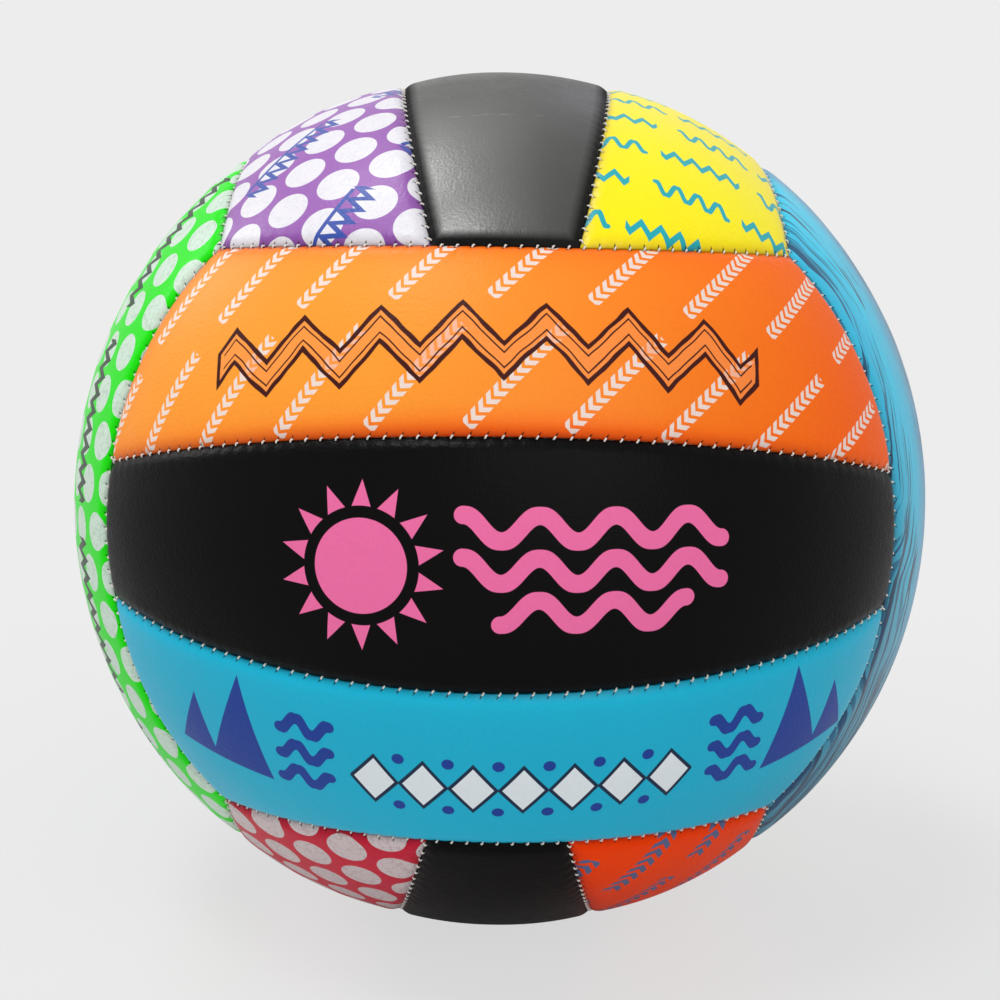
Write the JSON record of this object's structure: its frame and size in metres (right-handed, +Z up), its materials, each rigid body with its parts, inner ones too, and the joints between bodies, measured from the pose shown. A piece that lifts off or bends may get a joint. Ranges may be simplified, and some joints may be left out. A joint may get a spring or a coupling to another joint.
{
  "type": "volleyball",
  "caption": "Stitched beach volleyball with padded strip panels in six faces, sewn seams, an inner bladder and a valve with a removable plug.",
  "frame": {"origin": "centre of the ball", "axes": "+Z up, -Y out of the front face whose strips run level, +Y out of the back face along the valve's axis, +X to the right seen from the front"},
  "size_m": [0.213, 0.2127, 0.213],
  "materials": {
    "orange_skin": "satin",
    "black_skin": "satin",
    "cyan_skin": "satin",
    "purple_skin": "satin",
    "yellow_skin": "satin",
    "red_skin": "satin",
    "vermilion_skin": "satin",
    "green_skin": "satin",
    "sky_skin": "satin",
    "foam": "matt foam",
    "lining": "woven cloth",
    "thread": "twisted polyester",
    "bladder_rubber": "smooth",
    "valve_rubber": "matt",
    "plug_rubber": "matt"
  },
  "bodies": {
    "ball": {"front_lower_skin": "cyan_skin", "front_middle_skin": "black_skin", "front_upper_skin": "orange_skin", "back_lower_skin": "cyan_skin", "back_middle_skin": "black_skin", "back_upper_skin": "orange_skin", "top_left_skin": "purple_skin", "top_middle_skin": "black_skin", "top_right_skin": "yellow_skin", "bottom_left_skin": "red_skin", "bottom_middle_skin": "black_skin", "bottom_right_skin": "vermilion_skin", "left_back_skin": "sky_skin", "left_middle_skin": "black_skin", "left_front_skin": "green_skin", "right_front_skin": "sky_skin", "right_middle_skin": "black_skin", "right_back_skin": "green_skin", "front_lower_foam": "foam", "front_middle_foam": "foam", "front_upper_foam": "foam", "back_lower_foam": "foam", "back_middle_foam": "foam", "back_upper_foam": "foam", "top_left_foam": "foam", "top_middle_foam": "foam", "top_right_foam": "foam", "bottom_left_foam": "foam", "bottom_middle_foam": "foam", "bottom_right_foam": "foam", "left_back_foam": "foam", "left_middle_foam": "foam", "left_front_foam": "foam", "right_front_foam": "foam", "right_middle_foam": "foam", "right_back_foam": "foam", "front_lining": "lining", "back_lining": "lining", "top_lining": "lining", "bottom_lining": "lining", "left_lining": "lining", "right_lining": "lining", "front_thread": "thread", "back_thread": "thread", "top_thread": "thread", "bottom_thread": "thread", "left_thread": "thread", "right_thread": "thread", "bladder": "bladder_rubber", "valve_housing": "valve_rubber"},
    "valve_plug": {"valve_plug": "plug_rubber"}
  },
  "joints": [
    {"name": "valve_plug_slide", "type": "slide", "parent": "ball", "child": "valve_plug", "axis": [0, 1, 0], "range_m": [0, 0.018]}
  ]
}
